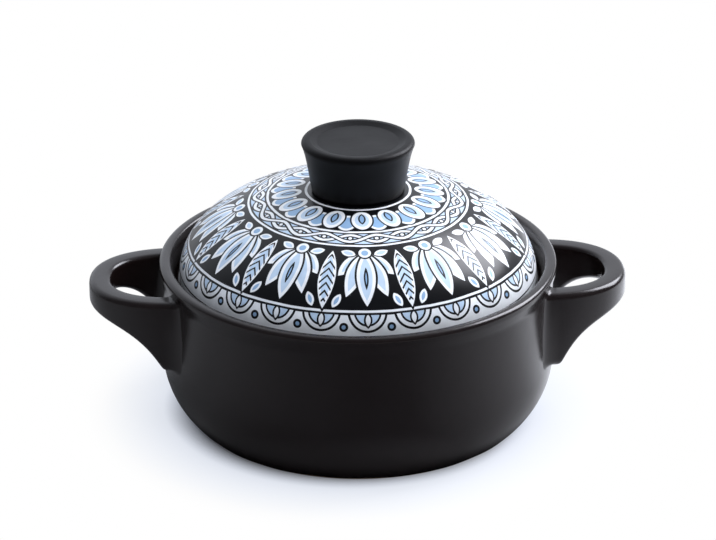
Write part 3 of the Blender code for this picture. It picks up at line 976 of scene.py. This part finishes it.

# %% [markdown]
# ## Finish, ride and replace
#
# Every piece gets its material and the body that it moves with. The lid's print is only
# on the faces outside its dome.

# %% Dress the pieces
for piece, material, slot, body, node in (
        (pot, satin, "black_satin_glaze", "pot", "pot_bowl"),
        (foot, bare, "bare_clay", "pot", None),
        (ear_right, satin, "black_satin_glaze", "pot", "handle_right"),
        (ear_left, satin, "black_satin_glaze", "pot", "handle_left"),
        (lid, printed_white, "patterned_white_glaze", "lid", "lid_dome"),
        (lid_seat, bare, "bare_clay", "lid", None),
        (knob, matt, "black_matt_glaze", "lid", "lid_knob")):
    piece.data.materials.append(material)
    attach(piece, body)
    if node:
        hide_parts(node)
    print(piece.name, "rides on", body)

lid.data.materials.append(plain_white)
printed_faces = (len(outside) - 1) * ROUND_STEPS
for face in lid.data.polygons:
    face.material_index = 0 if face.index < printed_faces else 1

# %% [markdown]
# ## The paper floor
#
# The pot stands on a seamless sheet of white paper. Lamps strong enough to burn the paper
# white would burn the lid too, so part of the paper's white is drawn for what the camera
# and the glazes see, and the light that falls on the pot is left alone. That part grows
# with the distance, so the real shadow stays round the foot, most of it on the left, away
# from the softbox. Close to the pot the drawn white is a little blue: a painted bluish
# shade over that shadow.

# %% Paper floor
PAPER_HALF = 6.0
SHADE_MIDDLE = (-0.004, 0.004, 0.0)
# painted bluish shade: the drawn white turns blue close to the pot
BLUE_SHADE = ((0.10, "f0f5ff"), (0.14, "ffffff"))
WHITE_SHARE = ((0.090, 0.0), (0.105, 0.77), (0.118, 0.84), (0.15, 1.0))
paper_mesh = bpy.data.meshes.new("paper_floor")
paper_mesh.from_pydata([(x * PAPER_HALF, y * PAPER_HALF, 0.0) for x, y in (
    (-1, -1), (1, -1), (1, 1), (-1, 1))], [], [(0, 1, 2, 3)])
paper = bpy.data.objects.new("paper_floor", paper_mesh)
bpy.context.scene.collection.objects.link(paper)


def seen_rays(tree):
    """1 for camera, glossy and transmission rays, 0 for light that falls on things."""
    rays = add(tree, "LightPath")
    seen = add(tree, "Math", [rays.outputs["Is Camera Ray"], rays.outputs["Is Glossy Ray"]],
               operation="MAXIMUM")
    return add(tree, "Math", [seen, rays.outputs["Is Transmission Ray"]],
               operation="MAXIMUM")


paper_white, tree, output = new_surface("white_paper")
dull = add(tree, "BsdfDiffuse", {"Color": colour("e9effc")})
far = add(tree, "VectorMath", [add(tree, "TexCoord").outputs["Object"], SHADE_MIDDLE],
          operation="SUBTRACT")
far = add(tree, "VectorMath", [far], operation="LENGTH")
# painted bluish shade round the foot, in the drawn white
tint = add(tree, "ValToRGB", [far], stops=[(away, colour(code)) for away, code in BLUE_SHADE])
glow = add(tree, "Emission", {"Color": tint, "Strength": 1.0})
lifted = add(tree, "ValToRGB", [far], stops=[(away, grey(white)) for away, white in WHITE_SHARE])
part = add(tree, "Math", [seen_rays(tree), lifted], operation="MULTIPLY")
mixed = add(tree, "MixShader", [part, dull, glow])
tree.links.new(mixed.outputs[0], output.inputs[0])
paper_mesh.materials.append(paper_white)
print("the paper is", 2 * PAPER_HALF, "m wide")

# %% [markdown]
# ## The room
#
# The world is the studio's dim room, lighter behind the pot, where a lit wall stands.
# The flat tops of the knob, the lip and the ears mirror just that part, and turn grey.
# The room is written in levels of light, since its bright part lies a little above 1.

# %% Room round the table
BRIGHT_SIDE = (-0.10, 0.90, 0.43)
ROOM_LIGHT = ((0.0, (0.10, 0.10, 0.11, 1.0)), (0.6, (0.15, 0.16, 0.18, 1.0)),
              (1.0, (1.00, 1.05, 1.15, 1.0)))
world = bpy.data.worlds.new("dim_room")
world.use_nodes = True
bpy.context.scene.world = world
tree = world.node_tree
tree.nodes.clear()
view = add(tree, "TexCoord").outputs["Generated"]
facing = add(tree, "VectorMath", [view, BRIGHT_SIDE], operation="DOT_PRODUCT")
facing = add(tree, "MapRange", [facing, -0.6, 1.0, 0.0, 1.0])
sky = add(tree, "ValToRGB", [facing], stops=ROOM_LIGHT)
background = add(tree, "Background", [sky, 1.0])
add(tree, "OutputWorld", [background])
print("the room is lit by", ROOM_LIGHT[0][1][2], "to", ROOM_LIGHT[-1][1][2])

# %% [markdown]
# ## A card for the reflections
#
# A black glaze is drawn by what it mirrors. White paper all round would make the pot
# grey, so a painted reflection stands in front of it, black in front and white to the
# right, as a photographer's black card would be. This ring lies on the paper and is seen
# only in reflections: it throws no shadow, and the camera looks through it.

# %% Card for the reflections
CARD_INNER, CARD_OUTER = 0.088, 1.6
CARD_HEIGHT = 0.001
CARD_STEPS = 72

ring = []
for step in range(CARD_STEPS + 1):
    angle = 2 * math.pi * step / CARD_STEPS
    for reach in (CARD_INNER, CARD_OUTER):
        ring.append((reach * math.cos(angle), reach * math.sin(angle), CARD_HEIGHT))
card_mesh = bpy.data.meshes.new("reflection_card")
card_mesh.from_pydata(ring, [], [(2 * n, 2 * n + 1, 2 * n + 3, 2 * n + 2)
                                 for n in range(CARD_STEPS)])
card = bpy.data.objects.new("reflection_card", card_mesh)
bpy.context.scene.collection.objects.link(card)
card.visible_camera = card.visible_diffuse = card.visible_shadow = False
print("the card reaches from", CARD_INNER, "to", CARD_OUTER, "m")

# %% [markdown]
# The card's grey runs round the pot: darkest in front, a middle grey on the left and
# white on the right. Near the pot it is nowhere darker than a soft grey, and right at the
# foot it is darkest of all: a painted shade for the paper in the pot's own shadow.

# %% Greys of the card, by degrees from the front towards the right
# painted reflection: the greys that the glazes mirror, round the pot
CARD_GREYS = ((-180, 0.6), (-140, 0.34), (-110, 0.28), (-70, 0.30), (-30, 0.12), (0, 0.06),
              (20, 0.08), (46, 0.28), (78, 0.54), (100, 1.0), (140, 1.0), (180, 0.6))
painted_reflection_surface, tree, output = new_surface("painted_reflection_card")
place = add(tree, "SeparateXYZ", [add(tree, "TexCoord").outputs["Object"]])
behind = add(tree, "Math", [place.outputs["Y"], -1.0], operation="MULTIPLY")
round_pot = add(tree, "Math", [place.outputs["X"], behind], operation="ARCTAN2")
round_pot = add(tree, "MapRange", [round_pot, -math.pi, math.pi, 0.0, 1.0])
greys = add(tree, "ValToRGB", [round_pot], stops=[
    ((degrees + 180) / 360, grey(level)) for degrees, level in CARD_GREYS])
away = add(tree, "VectorMath", [add(tree, "TexCoord").outputs["Object"]], operation="LENGTH")
edge_grey = add(tree, "MapRange", [away, 0.12, 0.18, 0.20, 0.0])
greys = add(tree, "Math", [greys, edge_grey], operation="MAXIMUM")
# painted shade: the mirrored paper turns dark right at the foot
painted_foot_shade = add(tree, "MapRange", [away, 0.092, 0.104, 0.15, 1.0])
greys = add(tree, "Math", [greys, painted_foot_shade], operation="MULTIPLY")
dull = add(tree, "BsdfDiffuse", {"Color": greys})
tree.links.new(dull.outputs[0], output.inputs[0])
card_mesh.materials.append(painted_reflection_surface)
print("the card has", len(CARD_GREYS), "greys round the pot")

# %% [markdown]
# ## The softboxes
#
# A softbox at the back right gives the glare on the lid's right flank, the bright lines
# on the lip and the right ear, and a shadow to the front left. A wide scrim over the
# table lights the print to its plain colour. It has a polarising sheet on it, which takes
# its mirror image off the glazes, so the black inks stay black.

# %% Softboxes
LAMP_AIM = (0.0, 0.0, 0.08)


def softbox(name, place, size, watts, tint):
    """A rectangular area light that faces the middle of the pot."""
    light = bpy.data.lights.new(name, "AREA")
    light.shape = "RECTANGLE"
    light.size, light.size_y = size
    light.energy = watts
    light.color = colour(tint)[:3]
    made = bpy.data.objects.new(name, light)
    made.location = place
    aim = Vector(LAMP_AIM) - made.location
    made.rotation_euler = aim.to_track_quat("-Z", "Y").to_euler()
    bpy.context.scene.collection.objects.link(made)
    print(name, "stands", round(aim.length, 2), "m away")
    return made


softbox("main_softbox", place=(1.01, 0.54, 1.04), size=(0.90, 0.90), watts=29.0,
        tint="f5f6ff")
scrim = softbox("top_scrim", place=(0.32, -0.42, 1.55), size=(1.6, 1.6), watts=22.0,
                tint="f4f8ff")
scrim.visible_glossy = False

# %% [markdown]
# ## Finish
#
# The dressed pot keeps the CAD model's size.

# %% Finish
bpy.context.scene.view_settings.view_transform = "Standard"
